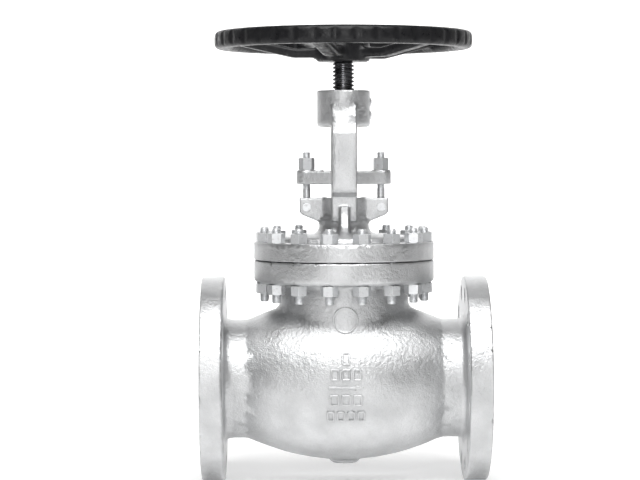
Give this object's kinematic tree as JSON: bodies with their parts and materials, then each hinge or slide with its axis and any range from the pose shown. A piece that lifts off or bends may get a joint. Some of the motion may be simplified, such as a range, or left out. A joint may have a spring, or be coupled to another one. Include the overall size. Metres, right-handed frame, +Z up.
{
  "type": "globe valve",
  "caption": "Flanged bolted-bonnet globe valve with outside screw and yoke, rising stem, gland with eyebolts and spoked handwheel.",
  "frame": {"origin": "centre of the inlet flange's bolting face, 1.6 mm behind its raised face", "axes": "+X along the pipe, from inlet to outlet; +Z up along the stem, towards the handwheel"},
  "size_m": [0.4445, 0.4, 0.7077],
  "materials": {
    "cast_paint": "satin aluminium paint over a sand casting",
    "fastener": "satin zinc plate",
    "trim_steel": "turned stainless steel",
    "stem_steel": "dark oiled thread",
    "bronze": "machined bronze",
    "graphite": "matt pressed graphite",
    "wheel_paint": "satin black paint on cast iron"
  },
  "bodies": {
    "housing": {"body": "cast_paint", "seat_ring": "trim_steel", "bonnet_gasket": "graphite", "bonnet": "cast_paint", "backseat_bush": "trim_steel", "bonnet_studs": "fastener", "upper_nuts": "fastener", "lower_nuts": "fastener", "packing_rings": "graphite", "eyebolt_left": "fastener", "eyebolt_right": "fastener", "eyebolt_pins": "fastener", "eyebolt_cotters": "fastener", "yoke_nut": "bronze", "yoke_lock_screws": "fastener"},
    "disc_group": {"disc": "trim_steel", "disc_nut": "trim_steel", "disc_nut_pin": "fastener"},
    "stem_group": {"stem": "stem_steel", "handwheel": "wheel_paint", "handwheel_key": "fastener", "handwheel_washer": "fastener", "handwheel_nut": "fastener"},
    "gland_group": {"gland_flange": "cast_paint", "gland_bush": "trim_steel"},
    "left_gland_nut": {"gland_nut_left": "fastener"},
    "right_gland_nut": {"gland_nut_right": "fastener"}
  },
  "joints": [
    {"name": "disc_lift", "type": "slide", "parent": "housing", "child": "disc_group", "axis": [0, 0, 1], "range_m": [-0.036, 0]},
    {"name": "handwheel_turn", "type": "hinge", "parent": "disc_group", "child": "stem_group", "pos_m": [0.22065, 0, 0.4], "axis": [0, 0, 1], "range_deg": [-2160, 0]},
    {"name": "gland_slide", "type": "slide", "parent": "housing", "child": "gland_group", "axis": [0, 0, 1], "range_m": [-0.007, 0], "deforming": ["packing_rings"]},
    {"name": "gland_nut_left_turn", "type": "hinge", "parent": "gland_group", "child": "left_gland_nut", "pos_m": [0.16285, 0, 0.335], "axis": [0, 0, 1], "range_deg": [-1440, 0]},
    {"name": "gland_nut_right_turn", "type": "hinge", "parent": "gland_group", "child": "right_gland_nut", "pos_m": [0.27845, 0, 0.335], "axis": [0, 0, 1], "range_deg": [-1440, 0]}
  ],
  "couplings": [
    {"joint": "disc_lift", "follows": "handwheel_turn", "m_per_rad": 0.00095493},
    {"joint": "gland_nut_left_turn", "follows": "gland_slide", "rad_per_m": 3590.4},
    {"joint": "gland_nut_right_turn", "follows": "gland_slide", "rad_per_m": 3590.4}
  ]
}
